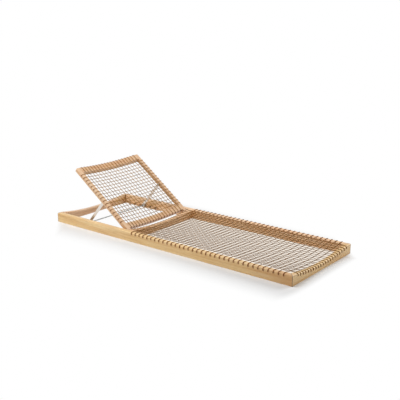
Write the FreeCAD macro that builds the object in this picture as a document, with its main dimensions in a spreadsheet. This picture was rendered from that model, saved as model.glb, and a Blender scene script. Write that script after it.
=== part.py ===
"""Low teak sun lounger with cord nets and a propped backrest.

Millimetres. X runs from the head end to the foot end, Y to the left of a
person lying on it, Z up from the floor. The origin is on the floor, under the
middle of the lounger with the cords that stand proud of its foot end.
"""
import FreeCAD, Part
import Sketcher
import math
import os

VEC = FreeCAD.Vector
TOUCH = 0.01
EASED = "(%s * (2 - sqrt(2)))"

# Driving dimensions: alias, value, what it measures
SIZES = (
    ("frame_length", 2000, "outer length of the base frame"),
    ("frame_width", 708, "outer width of the base frame"),
    ("frame_height", 67, "height of the base rails"),
    ("side_thickness", 35, "thickness of the two side rails"),
    ("end_thickness", 35, "thickness of the head and foot rails"),
    ("end_scoop", 27, "dip of the head and foot rails at mid-width"),
    ("mid_from_head", 688, "head end to the near face of the mid rail"),
    ("mid_thickness", 35, "thickness of the mid rail"),
    ("mid_scoop", 22, "dip of the mid rail at mid-width"),
    ("edge_round", 8, "rounding of the rail tops that the cords pass over"),
    ("dowel_radius", 5, "radius of the frame dowels"),
    ("dowel_length", 46, "length of the frame dowels"),
    ("dowel_spread", 26, "height between the two dowels of a joint"),
    ("dowel_height", 10, "floor to the lower dowel"),
    ("glue_gap", 0.05, "radial room for glue round a dowel or a fixed pin"),
    ("bore_room", 0.3, "room at the end of a blind hole"),
    ("cord_size", 3.6, "thickness of the net cord"),
    ("cord_gap", 0.3, "room between a cord and what it crosses"),
    ("cord_drop", 17, "rail top to the cord holes in the outer faces"),
    ("cord_tail", 7, "depth of a cord's end in its hole"),
    ("seat_cross_count", 35, "cords across the seat"),
    ("seat_long_count", 21, "cords along the seat"),
    ("seat_cross_margin", 24, "first and last cross cord to the rail beside it"),
    ("seat_long_margin", 24, "outer long cords to the side rails"),
    ("seat_sag", 14, "dip of the seat net at its middle"),
    ("hinge_from_head", 660.5, "head end to the hinge axis"),
    ("back_angle", 36.1, "backrest angle above the flat, in degrees"),
    ("back_length", 603, "hinge axis to the top edge of the backrest"),
    ("back_side_gap", 6, "gap between a back rail and the side rail beside it"),
    ("back_thickness", 28, "thickness of the backrest rails"),
    ("back_rail_width", 29, "width of the left and right back rails"),
    ("top_rail_width", 50, "width of the back top rail"),
    ("bottom_rail_width", 45, "width of the back bottom rail"),
    ("bottom_rail_offset", 7, "hinge axis to the back bottom rail"),
    ("back_bow", 17, "bow of the back top and bottom rails at mid-width"),
    ("back_corner", 8, "rounding of the backrest's top corners"),
    ("back_edge_round", 5, "easing of the back rails under the cords"),
    ("back_dowel_radius", 4, "radius of the backrest dowels"),
    ("back_dowel_length", 36, "length of the backrest dowels"),
    ("back_dowel_spread", 22, "distance between the two dowels of a joint"),
    ("back_cord_drop", 13, "front face to the cord holes of the backrest"),
    ("back_cross_count", 17, "cords across the backrest"),
    ("back_long_count", 19, "cords along the backrest"),
    ("back_cross_margin", 19, "first and last back cross cord to the rail"),
    ("back_long_margin", 20, "outer back long cords to the back rails"),
    ("back_sag", 9, "dip of the backrest net at its middle"),
    ("pin_radius", 6, "radius of the hinge pins"),
    ("pin_seat", 22, "depth of a hinge pin in the side rail"),
    ("pin_reach", 22, "depth of a hinge pin in its back rail"),
    ("running_fit", 0.05, "radial room in a turning joint"),
    ("prop_from_hinge", 289, "hinge axis to the prop's pivot, along the back"),
    ("prop_pivot_drop", 4, "prop's pivot behind the middle of the back rails"),
    ("arm_length", 258, "prop pivot to the prop rod"),
    ("arm_width", 20, "width of the prop arms"),
    ("arm_thickness", 5, "thickness of the prop arms"),
    ("arm_gap", 2.4, "gap between a prop arm and its back rail"),
    ("arm_play", 0.2, "play between a prop arm and the bolt's head"),
    ("bolt_radius", 4, "radius of the prop bolts"),
    ("bolt_seat", 18, "depth of a prop bolt in its back rail"),
    ("bolt_head_radius", 7, "radius of a prop bolt's head"),
    ("bolt_head", 4, "height of a prop bolt's head"),
    ("rod_radius", 4, "radius of the prop rod"),
    ("rod_height", 24, "floor to the middle of the prop rod"),
    ("rod_end_gap", 2.5, "prop rod's end to the side rail"),
    ("rack_thickness", 14, "thickness of the notched racks"),
    ("rack_floor", 2, "floor to the underside of the racks"),
    ("rack_slope", 1.9, "rise of the rack's top towards the foot, in degrees"),
    ("rack_clearance", 0.85, "room between the rod and the rack's teeth"),
    ("rack_end", 17, "outermost notches to the ends of the racks"),
    ("notch_pitch", 54, "distance between two notches"),
    ("notch_depth", 9, "depth of a notch"),
    ("notch_width", 15, "width of a notch at its mouth"),
    ("notches_headward", 3, "notches on the head side of the one in use"),
    ("notches_footward", 2, "notches on the foot side of the one in use"),
)

doc = FreeCAD.newDocument("sun_lounger")
sheet = doc.addObject("Spreadsheet::Sheet", "sizes")
for row, (alias, value, note) in enumerate(SIZES, start=1):
    sheet.set("A%d" % row, note)
    sheet.set("B%d" % row, str(value))
    sheet.setAlias("B%d" % row, alias)
doc.recompute()

NODES = []


def value_of(expression):
    """Number that an expression over the sheet's aliases stands for."""
    result = sheet.evalExpression(expression)
    return float(getattr(result, "Value", result))


def size(alias):
    return float(sheet.get(alias))


def bind(item, **expressions):
    """Tie properties to the sheet; a double underscore stands for a dot."""
    for name, expression in expressions.items():
        item.setExpression(name.replace("__", "."), expression)


def name_node(item, label):
    """Mark an object as a finished sub-part of the lounger."""
    item.Label = label
    NODES.append(item)
    return item


# Where things are, as expressions over the sheet
CORD_PROUD = "(sizes.cord_size + sizes.cord_gap)"
HEAD_X = "(-(sizes.frame_length + %s) / 2)" % CORD_PROUD
FOOT_X = "((sizes.frame_length - %s) / 2)" % CORD_PROUD
SIDE_Y = "(sizes.frame_width / 2)"
SIDE_INNER_Y = "(sizes.frame_width / 2 - sizes.side_thickness)"
MID_X = HEAD_X + " + sizes.mid_from_head"
HINGE_X = "(%s + sizes.hinge_from_head)" % HEAD_X
HINGE_Z = "(sizes.frame_height - sizes.back_thickness / 2)"
BACK_Y = "(sizes.frame_width / 2 - sizes.side_thickness - sizes.back_side_gap)"
BACK_INNER_Y = "(%s - sizes.back_rail_width)" % BACK_Y
BACK_HALF = "(sizes.back_thickness / 2)"
PIVOT_X = (
    "(%s - sizes.prop_from_hinge * cos(sizes.back_angle)"
    " - sizes.prop_pivot_drop * sin(sizes.back_angle))" % HINGE_X
)
PIVOT_Z = (
    "(%s + sizes.prop_from_hinge * sin(sizes.back_angle)"
    " - sizes.prop_pivot_drop * cos(sizes.back_angle))" % HINGE_Z
)
ARM_DIP = "asin((%s - sizes.rod_height) / sizes.arm_length)" % PIVOT_Z
ROD_X = "(%s - sizes.arm_length * cos(%s))" % (PIVOT_X, ARM_DIP)


def move_to(item, x="0", y="0", z="0"):
    bind(item, Placement__Base__x=x, Placement__Base__y=y, Placement__Base__z=z)
    return item


def on_backrest(item):
    """Carry an object that is drawn about the hinge axis, lying flat."""
    item.Placement = FreeCAD.Placement(VEC(), FreeCAD.Rotation(VEC(0, 1, 0), 1))
    bind(item, Placement__Rotation__Angle="sizes.back_angle")
    return move_to(item, x=HINGE_X, z=HINGE_Z)


def on_prop(item):
    """Carry an object that is drawn about the prop's pivot, arm along -X."""
    item.Placement = FreeCAD.Placement(VEC(), FreeCAD.Rotation(VEC(0, 1, 0), -1))
    bind(item, Placement__Rotation__Angle="-" + ARM_DIP)
    return move_to(item, x=PIVOT_X, z=PIVOT_Z)


def new_sketch(body, name, plane):
    sketch = body.newObject("Sketcher::SketchObject", name)
    support = [f for f in body.Origin.OriginFeatures if f.Role == plane][0]
    sketch.AttachmentSupport = [(support, "")]
    sketch.MapMode = "FlatFace"
    return sketch


def fix_point(sketch, edge, end, x, y):
    """Hold one end of an edge at a point given by two expressions."""
    for kind, expression in (("DistanceX", x), ("DistanceY", y)):
        number = sketch.addConstraint(
            Sketcher.Constraint(kind, -1, 1, edge, end, value_of(expression))
        )
        sketch.setExpression("Constraints[%d]" % number, expression)


def arc_between(start, end, radius, bulge):
    """Arc of under half a circle that bulges to the left (1) or right (-1)."""
    chord = end - start
    half = chord.Length / 2
    rise = radius - max(radius ** 2 - half ** 2, 0) ** 0.5
    left = VEC(-chord.y, chord.x, 0).normalize()
    return Part.Arc(start, (start + end) / 2 + left * rise * bulge, end)


def draw_outline(sketch, corners, arcs=None):
    """Closed outline through corners that are given as expressions.

    arcs maps the number of an edge to its radius and the side it bulges to.
    """
    arcs = arcs or {}
    points = [VEC(value_of(x), value_of(y), 0) for x, y in corners]
    count = len(points)
    ends = []
    for index, start in enumerate(points):
        end = points[(index + 1) % count]
        if index in arcs:
            radius, bulge = arcs[index]
            curve = arc_between(start, end, value_of(radius), bulge)
        else:
            curve = Part.LineSegment(start, end)
        edge = sketch.addGeometry(curve)
        forward = (sketch.getPoint(edge, 1) - start).Length < TOUCH
        ends.append((edge, 1, 2) if forward else (edge, 2, 1))
    for index, (edge, first, last) in enumerate(ends):
        following, start, _ = ends[(index + 1) % count]
        sketch.addConstraint(Sketcher.Constraint("Coincident", edge, last, following, start))
        fix_point(sketch, edge, first, *corners[index])
        if index in arcs:
            radius = arcs[index][0]
            number = sketch.addConstraint(
                Sketcher.Constraint("Radius", edge, value_of(radius))
            )
            sketch.setExpression("Constraints[%d]" % number, radius)


def pad(body, sketch, length, symmetric=False):
    feature = body.newObject("PartDesign::Pad", sketch.Name + "_pad")
    feature.Profile = sketch
    feature.SideType = "Symmetric" if symmetric else "One side"
    bind(feature, Length=length)
    doc.recompute()
    return feature


def dress_edges(body, kind, chosen, **sizes):
    """Fillet or Chamfer on the edges of a body's last feature that pass a test."""
    base = body.Tip
    names = ["Edge%d" % n for n, e in enumerate(base.Shape.Edges, start=1) if chosen(e)]
    feature = body.newObject("PartDesign::" + kind, "%s_%s" % (body.Name, kind))
    feature.Base = (base, names)
    bind(feature, **sizes)
    doc.recompute()


def round_edges(body, radius, chosen):
    dress_edges(body, "Fillet", chosen, Radius=radius)


def ease_edges(body, radius, chosen):
    """Flat easing that just touches a round of the radius that is given."""
    dress_edges(body, "Chamfer", chosen, Size=EASED % radius)


def y_rod(name, radius, length, x="0", y="0", z="0"):
    """Round bar along Y, centred on the point that is given."""
    rod = doc.addObject("Part::Cylinder", name)
    rod.Placement = FreeCAD.Placement(VEC(), FreeCAD.Rotation(VEC(1, 0, 0), -90))
    bind(rod, Radius=radius, Height=length)
    return move_to(rod, x=x, y="%s - (%s) / 2" % (y, length), z=z)


def y_prism(name, sides, radius, length, x="0", y="0", z="0"):
    """Bar along Y with flat sides, centred on the point that is given."""
    bar = doc.addObject("Part::Prism", name)
    bar.Polygon = sides
    bar.Placement = FreeCAD.Placement(VEC(), FreeCAD.Rotation(VEC(1, 0, 0), -90))
    bind(bar, Circumradius=radius, Height=length)
    return move_to(bar, x=x, y="%s - (%s) / 2" % (y, length), z=z)


def gather(name, items):
    group = doc.addObject("Part::Compound", name)
    group.Links = items
    return group


def join(name, base, tool):
    result = doc.addObject("Part::Fuse", name)
    result.Base = base
    result.Tool = tool
    return result


def cut(name, base, tool):
    result = doc.addObject("Part::Cut", name)
    result.Base = base
    result.Tool = tool
    return result


def solid_group(name, solids):
    feature = doc.addObject("Part::Feature", name)
    feature.Shape = Part.makeCompound(solids)
    return feature


# Nets: cords that run over the rails of a frame and into holes in their
# outer faces. Cords across lie on the cords along, and both follow one dish.

# Share of the half width, and the share of the dip that is reached there
ACROSS_STEPS = ((-1, 0), (-0.4, 0.92), (0.4, 0.92), (1, 0))
LENGTH_STEPS = (-1, 0, 1)

# A cord turns a rounded edge in one slanted step that just touches the round
TURN = math.tan(math.radians(45 / 2))


def arc_drop(half_chord, depth, across):
    """How far an arc lies below its own ends, at a distance from its middle."""
    radius = (half_chord ** 2 + depth ** 2) / (2 * depth)
    distance = min(abs(across), half_chord)
    return depth - radius + (radius ** 2 - distance ** 2) ** 0.5


def along(points, at):
    """Height of a line through points, in rising order, at one place."""
    for (x0, z0), (x1, z1) in zip(points, points[1:]):
        if at <= x1:
            return z0 + (z1 - z0) * (at - x0) / (x1 - x0)
    return points[-1][1]


def spread(first, last, count):
    return [first + (last - first) * n / (count - 1) for n in range(count)]


def beside(path, distance):
    """Points to the left of a path, with mitred corners."""
    points = []
    for index, here in enumerate(path):
        before = path[index - 1] if index else here
        after = path[index + 1] if index + 1 < len(path) else here
        sides = []
        for step in (here - before, after - here):
            if step.Length > 0:
                sides.append(VEC(-step.y, step.x, 0).normalize())
        mitre = (sides[0] + sides[-1]).normalize()
        points.append(here + mitre * (distance / mitre.dot(sides[0])))
    return points


def cord_solid(path, place, thickness):
    """Square cord along a flat path; place lifts a path point into space."""
    flat = [VEC(a, z, 0) for a, z in path]
    ring = beside(flat, thickness / 2) + beside(flat, -thickness / 2)[::-1]
    face = Part.Face(Part.makePolygon([place(p, -thickness / 2) for p in ring + ring[:1]]))
    return face.extrude(place(VEC(), thickness) - place(VEC(), 0))


def over_rail(face, outward, top, edge_round, drop, tail, stand):
    """Cord path from its hole in an outer face up and over the rail's edge."""
    turn = (edge_round + stand) * TURN
    return [
        (face - outward * tail, top - drop),
        (face + outward * stand, top - drop),
        (face + outward * stand, top - edge_round + turn),
        (face - outward * (edge_round - turn), top + stand),
    ]


class Net:
    """Cords of one frame, whose sides and ends are given as plain sizes."""

    def __init__(self, top, side, side_width, edge_round, drop, ends, sag, steps):
        self.top = top
        self.side = side
        self.edge_round = edge_round
        self.drop = drop
        self.ends = ends
        self.inner = side - side_width
        self.cord = size("cord_size")
        self.stand = self.cord / 2 + size("cord_gap")
        self.tail = size("cord_tail")
        self.layer = self.cord + size("cord_gap")
        half = self.inner + edge_round / 2
        self.across = [(f * half, share) for f, share in ACROSS_STEPS]
        start, end = (end["inner"] for end in ends)
        lead = steps["lead"]
        self.lengthwise = []
        for f in LENGTH_STEPS:
            dip = ends[0 if f < 0 else 1]["dip"]
            x = (start + end) / 2 + f * ((end - start) / 2 - lead)
            self.lengthwise.append((x, sag + (dip - sag) * f ** 2))
        margin = steps["cross_margin"]
        self.cross_x = spread(start + margin, end - margin, steps["cross_count"])
        reach = self.inner - steps["long_margin"]
        self.long_y = spread(-reach, reach, steps["long_count"])

    def cross_cords(self):
        cords = []
        rail = (self.top, self.edge_round, self.drop, self.tail, self.stand)
        for x in self.cross_x:
            depth = along(self.lengthwise, x)
            middle = [(y, self.top + self.stand - depth * g) for y, g in self.across]
            path = over_rail(-self.side, -1, *rail) + middle
            path += over_rail(self.side, 1, *rail)[::-1]
            cords.append(cord_solid(path, lambda p, w: VEC(x + w, p.x, p.y), self.cord))
        return cords

    def end_top(self, end, y):
        """Highest wood under a cord on a dipped end rail."""
        return self.top - arc_drop(self.inner, end["dip"], abs(y) + self.cord / 2)

    def long_cords(self):
        cords = []
        for y in self.long_y:
            g = along(self.across, y)
            level = self.top + self.stand - self.layer
            path = [(x, level - depth * g) for x, depth in self.lengthwise]
            for end in self.ends:
                wood = self.end_top(end, y)
                way = over_rail(
                    end["face"], end["outward"], wood,
                    self.edge_round, self.drop, self.tail, self.stand,
                )
                way.append((end["inner"] + end["outward"] * self.edge_round / 2, wood + self.stand))
                path = way + path if end["outward"] < 0 else path + way[::-1]
            cords.append(cord_solid(path, lambda p, w: VEC(p.x, y + w, p.y), self.cord))
        return cords

    def side_holes(self, outward):
        """Holes for the ends of the cross cords in one side rail."""
        room = self.cord + 2 * size("cord_gap")
        depth = self.tail + 2 * size("cord_gap")
        start = self.side - depth if outward > 0 else -self.side - self.cord
        holes = []
        for x in self.cross_x:
            corner = VEC(x - room / 2, start, self.top - self.drop - room / 2)
            holes.append(Part.makeBox(room, depth + self.cord, room, corner))
        return holes

    def end_holes(self, end):
        """Holes for the ends of the long cords in one end rail."""
        room = self.cord + 2 * size("cord_gap")
        depth = self.tail + 2 * size("cord_gap")
        start = end["face"] - depth if end["outward"] > 0 else end["face"] - self.cord
        holes = []
        for y in self.long_y:
            level = self.end_top(end, y) - self.drop
            corner = VEC(start, y - room / 2, level - room / 2)
            holes.append(Part.makeBox(depth + self.cord, room, room, corner))
        return holes


def net_end(face, outward, width, dip):
    return {"face": face, "outward": outward, "inner": face - outward * width, "dip": dip}


def net_steps(prefix):
    return {
        "cross_count": int(size(prefix + "_cross_count")),
        "long_count": int(size(prefix + "_long_count")),
        "cross_margin": size(prefix + "_cross_margin"),
        "long_margin": size(prefix + "_long_margin"),
        "lead": size(prefix + "_cross_margin") / 2,
    }


seat_net = Net(
    top=size("frame_height"),
    side=value_of(SIDE_Y),
    side_width=size("side_thickness"),
    edge_round=size("edge_round"),
    drop=size("cord_drop"),
    ends=(
        net_end(value_of(MID_X), -1, size("mid_thickness"), size("mid_scoop")),
        net_end(value_of(FOOT_X), 1, size("end_thickness"), size("end_scoop")),
    ),
    sag=size("seat_sag"),
    steps=net_steps("seat"),
)
back_net = Net(
    top=value_of(BACK_HALF),
    side=value_of(BACK_Y),
    side_width=size("back_rail_width"),
    edge_round=size("back_edge_round"),
    drop=size("back_cord_drop"),
    ends=(
        net_end(-size("back_length"), -1, size("top_rail_width"), size("back_bow")),
        net_end(-size("bottom_rail_offset"), 1, size("bottom_rail_width"), size("back_bow")),
    ),
    sag=size("back_sag"),
    steps=net_steps("back"),
)

name_node(solid_group("seat_cross", seat_net.cross_cords()), "seat_cross_cords")
name_node(solid_group("seat_long", seat_net.long_cords()), "seat_long_cords")
name_node(on_backrest(solid_group("back_cross", back_net.cross_cords())), "back_cross_cords")
name_node(on_backrest(solid_group("back_long", back_net.long_cords())), "back_long_cords")


# Dowels of the base frame, with the holes they sit in. All run along Y.

DOWEL_SIDES = 8

CORNER_X = ("%s + sizes.end_thickness / 2" % HEAD_X, "%s - sizes.end_thickness / 2" % FOOT_X)
CORNER_Y = "(%s + sizes.side_thickness / 4)" % SIDE_INNER_Y
MID_CENTRE_X = "%s + sizes.mid_thickness / 2" % MID_X
DOWEL_Z = ("sizes.dowel_height", "sizes.dowel_height + sizes.dowel_spread")
DOWEL_HOLE = ("sizes.dowel_radius + sizes.glue_gap", "sizes.dowel_length + 2 * sizes.bore_room")
SIDES = (("left", 1, ""), ("right", -1, "-"))


def dowel_set(name, radius, length, places):
    """Dowels, or their holes, with flat sides that leave room for the glue."""
    return [
        y_prism("%s_%d" % (name, n), DOWEL_SIDES, radius, length, *at)
        for n, at in enumerate(places)
    ]


CORNER_PLACES = [(x, sign + CORNER_Y, z) for x in CORNER_X for _, _, sign in SIDES for z in DOWEL_Z]
MID_PLACES = [(MID_CENTRE_X, sign + SIDE_INNER_Y, z) for _, _, sign in SIDES for z in DOWEL_Z]
DOWEL = ("sizes.dowel_radius", "sizes.dowel_length")
name_node(gather("corner_dowel_group", dowel_set("corner_dowel", *DOWEL, CORNER_PLACES)), "corner_dowels")
name_node(gather("mid_dowel_group", dowel_set("mid_dowel", *DOWEL, MID_PLACES)), "mid_rail_dowels")


# Base frame: two straight side rails, mitred to scooped end rails, and a
# scooped rail between them under the hinge end of the seat

def is_top_edge(edge, direction):
    """Long edge of a rail's top that runs along X or Y."""
    box = edge.BoundBox
    run = {"X": box.XLength, "Y": box.YLength}
    other = {"X": box.YLength, "Y": box.XLength}
    level = box.ZMin > size("frame_height") / 2
    return level and run[direction] > 2 * size("end_thickness") and other[direction] < TOUCH


def new_body(label, plane):
    body = doc.addObject("PartDesign::Body", label + "_blank")
    return body, new_sketch(body, label + "_outline", plane)


def scoop(body, low_x, high_x, depth, rounded):
    """Hollow a rail's top along an arc, with both its edges rounded or eased."""
    sketch = new_sketch(body, body.Name + "_scoop", "XZ_Plane")
    rim = "sizes.edge_round" if rounded else EASED % "sizes.edge_round"
    floor = "(sizes.frame_height - %s)" % depth
    shoulder = "(%s - %s)" % (floor, rim)
    roof = "(sizes.frame_height + %s)" % rim
    axis = "%s + (%s ^ 2 + %s ^ 2) / (2 * %s)" % (floor, SIDE_INNER_Y, depth, depth)
    corners = [
        ("%s - %s" % (low_x, rim), shoulder), (low_x, shoulder),
        ("%s + %s" % (low_x, rim), floor), ("%s - %s" % (high_x, rim), floor),
        (high_x, shoulder), ("%s + %s" % (high_x, rim), shoulder),
        ("%s + %s" % (high_x, rim), roof), ("%s - %s" % (low_x, rim), roof),
    ]
    draw_outline(sketch, corners, {1: (rim, 1), 3: (rim, 1)} if rounded else None)
    start = VEC(value_of(low_x), value_of(axis), 0)
    end = VEC(value_of(high_x), value_of(axis), 0)
    line = sketch.addGeometry(Part.LineSegment(start, end), True)
    fix_point(sketch, line, 1, low_x, axis)
    fix_point(sketch, line, 2, high_x, axis)
    before = body.Shape.Volume
    feature = body.newObject("PartDesign::Groove", sketch.Name + "_groove")
    feature.Profile = sketch
    feature.ReferenceAxis = (sketch, ["Axis0"])
    feature.Angle = 360
    doc.recompute()
    if not body.Shape.Volume < before:
        raise RuntimeError(sketch.Name + " cuts nothing")


def side_rail_blank(label, sign):
    body, sketch = new_body(label, "XY_Plane")
    outer = sign + SIDE_Y
    inner = sign + SIDE_INNER_Y
    draw_outline(sketch, [
        (HEAD_X, outer), (FOOT_X, outer),
        (FOOT_X + " - sizes.end_thickness", inner), (HEAD_X + " + sizes.end_thickness", inner),
    ])
    pad(body, sketch, "sizes.frame_height")
    round_edges(body, "sizes.edge_round", lambda edge: is_top_edge(edge, "X"))
    return body


def end_rail_blank(label, outer, inner, corded):
    """Mitred rail whose top is rounded where cords pass over it, and eased where none do."""
    body, sketch = new_body(label, "XY_Plane")
    draw_outline(sketch, [
        (outer, SIDE_Y), (outer, "-" + SIDE_Y), (inner, "-" + SIDE_INNER_Y), (inner, SIDE_INNER_Y),
    ])
    pad(body, sketch, "sizes.frame_height")
    dress = round_edges if corded else ease_edges
    dress(body, "sizes.edge_round", lambda edge: is_top_edge(edge, "Y"))
    low, high = sorted((outer, inner), key=value_of)
    scoop(body, low, high, "sizes.end_scoop", rounded=corded)
    return body


def mid_rail_blank(label):
    body, sketch = new_body(label, "XY_Plane")
    far = MID_X + " + sizes.mid_thickness"
    draw_outline(sketch, [
        (MID_X, SIDE_INNER_Y), (MID_X, "-" + SIDE_INNER_Y),
        (far, "-" + SIDE_INNER_Y), (far, SIDE_INNER_Y),
    ])
    pad(body, sketch, "sizes.frame_height")
    scoop(body, MID_X, far, "sizes.mid_scoop", rounded=False)
    return body


corner_holes = dowel_set("corner_dowel_hole", *DOWEL_HOLE, CORNER_PLACES)
mid_holes = dowel_set("mid_dowel_hole", *DOWEL_HOLE, MID_PLACES)

PIN_HOLE = ("sizes.pin_radius + sizes.glue_gap", "2 * (sizes.pin_seat + sizes.bore_room)")

for side, facing, sign in SIDES:
    label = side + "_side_rail"
    tools = [solid_group(label + "_cord_holes", seat_net.side_holes(facing))]
    tools += corner_holes + mid_holes
    tools.append(y_rod(label + "_pin_hole", *PIN_HOLE, HINGE_X, sign + SIDE_INNER_Y, HINGE_Z))
    blank = side_rail_blank(label, sign)
    name_node(cut(label + "_bored", blank, gather(label + "_holes", tools)), label)

head_blank = end_rail_blank("head_rail", HEAD_X, HEAD_X + " + sizes.end_thickness", corded=False)
name_node(cut("head_rail_bored", head_blank, gather("head_rail_holes", corner_holes)), "head_rail")

foot_blank = end_rail_blank("foot_rail", FOOT_X, FOOT_X + " - sizes.end_thickness", corded=True)
foot_cords = solid_group("foot_rail_cord_holes", seat_net.end_holes(seat_net.ends[1]))
foot_tools = gather("foot_rail_holes", corner_holes + [foot_cords])
name_node(cut("foot_rail_bored", foot_blank, foot_tools), "foot_rail")

mid_cords = solid_group("mid_rail_cord_holes", seat_net.end_holes(seat_net.ends[0]))
mid_tools = gather("mid_rail_holes", mid_holes + [mid_cords])
name_node(cut("mid_rail_bored", mid_rail_blank("mid_rail"), mid_tools), "mid_rail")


# Racks: notched strips inside the side rails, drawn about the rod's place

def rack_top(x):
    return (
        "(sizes.rod_height - sizes.rod_radius - sizes.rack_clearance"
        " + tan(sizes.rack_slope) * (%s))" % x
    )


RACK_HEAD = "(-sizes.notches_headward * sizes.notch_pitch - sizes.rack_end)"
RACK_FOOT = "(sizes.notches_footward * sizes.notch_pitch + sizes.rack_end)"
RACK_Y = "(%s - sizes.rack_thickness / 2)" % SIDE_INNER_Y
NOTCHES = range(-int(size("notches_headward")), int(size("notches_footward")) + 1)

teeth = []
for step in NOTCHES:
    x = "(%d * sizes.notch_pitch)" % step
    near = x + " - sizes.notch_width / 2"
    far = x + " + sizes.notch_width / 2"
    teeth.append((near, rack_top(near)))
    teeth.append((x, rack_top(x) + " - sizes.notch_depth"))
    teeth.append((far, rack_top(far)))
rack_outline = [
    (RACK_FOOT, rack_top(RACK_FOOT)), (RACK_FOOT, "sizes.rack_floor"),
    (RACK_HEAD, "sizes.rack_floor"), (RACK_HEAD, rack_top(RACK_HEAD)),
] + teeth
for side, _, sign in SIDES:
    label = side + "_rack"
    body, sketch = new_body(label, "XZ_Plane")
    draw_outline(sketch, rack_outline)
    pad(body, sketch, "sizes.rack_thickness", symmetric=True)
    move_to(name_node(body, label), x=ROD_X, y=sign + RACK_Y)


# Hinge: pins that are fast in the side rails and turn in the back rails

PIN_REACH = "(sizes.pin_seat + sizes.back_side_gap + sizes.pin_reach)"
PIN_Y = "(%s + sizes.pin_seat - %s / 2)" % (SIDE_INNER_Y, PIN_REACH)
pins = [
    y_rod(side + "_hinge_pin", "sizes.pin_radius", PIN_REACH, HINGE_X, sign + PIN_Y, HINGE_Z)
    for side, _, sign in SIDES
]
name_node(gather("hinge_pin_group", pins), "hinge_pins")


# Backrest, drawn flat about the hinge axis with its top towards -X

TOP_RAIL_X = "(-sizes.back_length + sizes.top_rail_width / 2)"
BOTTOM_RAIL_X = "(-sizes.bottom_rail_offset - sizes.bottom_rail_width / 2)"
BACK_DOWEL = ("sizes.back_dowel_radius", "sizes.back_dowel_length")
BACK_DOWEL_HOLE = (
    "sizes.back_dowel_radius + sizes.glue_gap",
    "sizes.back_dowel_length + 2 * sizes.bore_room",
)
BACK_PLACES = [
    ("%s %s sizes.back_dowel_spread / 2" % (x, shift), sign + BACK_INNER_Y, "0")
    for x in (TOP_RAIL_X, BOTTOM_RAIL_X) for _, _, sign in SIDES for shift in ("+", "-")
]
back_dowels = dowel_set("back_dowel", *BACK_DOWEL, BACK_PLACES)
name_node(on_backrest(gather("back_dowel_group", back_dowels)), "back_dowels")
back_holes = dowel_set("back_dowel_hole", *BACK_DOWEL_HOLE, BACK_PLACES)

PIN_BORE = ("sizes.pin_radius + sizes.running_fit", "2 * (sizes.pin_reach + sizes.bore_room)")
BOLT_HOLE = ("sizes.bolt_radius + sizes.glue_gap", "2 * (sizes.bolt_seat + sizes.bore_room)")
BOLT_X = "-sizes.prop_from_hinge"
BOLT_Z = "-sizes.prop_pivot_drop"


def back_rail_blank(label, facing, sign):
    """Straight rail with a round end about the hinge and a round top corner."""
    body, sketch = new_body(label, "XZ_Plane")
    draw_outline(sketch, [
        ("-sizes.back_length", "-" + BACK_HALF), ("0", "-" + BACK_HALF), (BACK_HALF, "0"),
        ("0", BACK_HALF), ("-sizes.back_length", BACK_HALF),
    ], {1: (BACK_HALF, -1), 2: (BACK_HALF, -1)})
    pad(body, sketch, "sizes.back_rail_width", symmetric=True)
    outer = facing * size("back_rail_width") / 2
    top = -size("back_length")
    front = value_of(BACK_HALF)

    def is_corner(edge):
        return all(abs(p.X - top) < TOUCH and abs(p.Y - outer) < TOUCH for p in edge.Vertexes)

    def is_front(edge):
        level = all(abs(p.Y - outer) < TOUCH and abs(p.Z - front) < TOUCH for p in edge.Vertexes)
        return level and edge.Length > -top / 2

    round_edges(body, "sizes.back_corner", is_corner)
    ease_edges(body, "sizes.back_edge_round", is_front)
    bind(body, Placement__Base__y="%s(%s - sizes.back_rail_width / 2)" % (sign, BACK_Y))
    return body


def bowed_rail_blank(label, width, x):
    """Cross rail of even thickness that bows to the rear at mid-width."""
    body, sketch = new_body(label, "YZ_Plane")
    radius = "(%s ^ 2 + sizes.back_bow ^ 2) / (2 * sizes.back_bow)" % BACK_INNER_Y
    draw_outline(sketch, [
        ("-" + BACK_INNER_Y, "-" + BACK_HALF), (BACK_INNER_Y, "-" + BACK_HALF),
        (BACK_INNER_Y, BACK_HALF), ("-" + BACK_INNER_Y, BACK_HALF),
    ], {0: (radius, -1), 2: (radius, 1)})
    pad(body, sketch, width, symmetric=True)
    front = value_of(BACK_HALF)
    span = value_of(BACK_INNER_Y)

    def is_front(edge):
        return edge.Length > span and all(abs(p.Z - front) < TOUCH for p in edge.Vertexes)

    ease_edges(body, "sizes.back_edge_round", is_front)
    bind(body, Placement__Base__x=x)
    return body


for side, facing, sign in SIDES:
    label = "back_%s_rail" % side
    tools = [solid_group(label + "_cord_holes", back_net.side_holes(facing))] + back_holes
    tools.append(y_rod(label + "_pin_bore", *PIN_BORE, "0", sign + BACK_Y, "0"))
    tools.append(y_rod(label + "_bolt_hole", *BOLT_HOLE, BOLT_X, sign + BACK_INNER_Y, BOLT_Z))
    blank = back_rail_blank(label, facing, sign)
    name_node(on_backrest(cut(label + "_bored", blank, gather(label + "_holes", tools))), label)

for label, width, x, end in (
    ("back_top_rail", "sizes.top_rail_width", TOP_RAIL_X, back_net.ends[0]),
    ("back_bottom_rail", "sizes.bottom_rail_width", BOTTOM_RAIL_X, back_net.ends[1]),
):
    cords = solid_group(label + "_cord_holes", back_net.end_holes(end))
    tools = gather(label + "_holes", back_holes + [cords])
    blank = bowed_rail_blank(label, width, x)
    name_node(on_backrest(cut(label + "_bored", blank, tools)), label)


# Prop: two flat arms that swing on bolts in the back rails, and a cross rod

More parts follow.
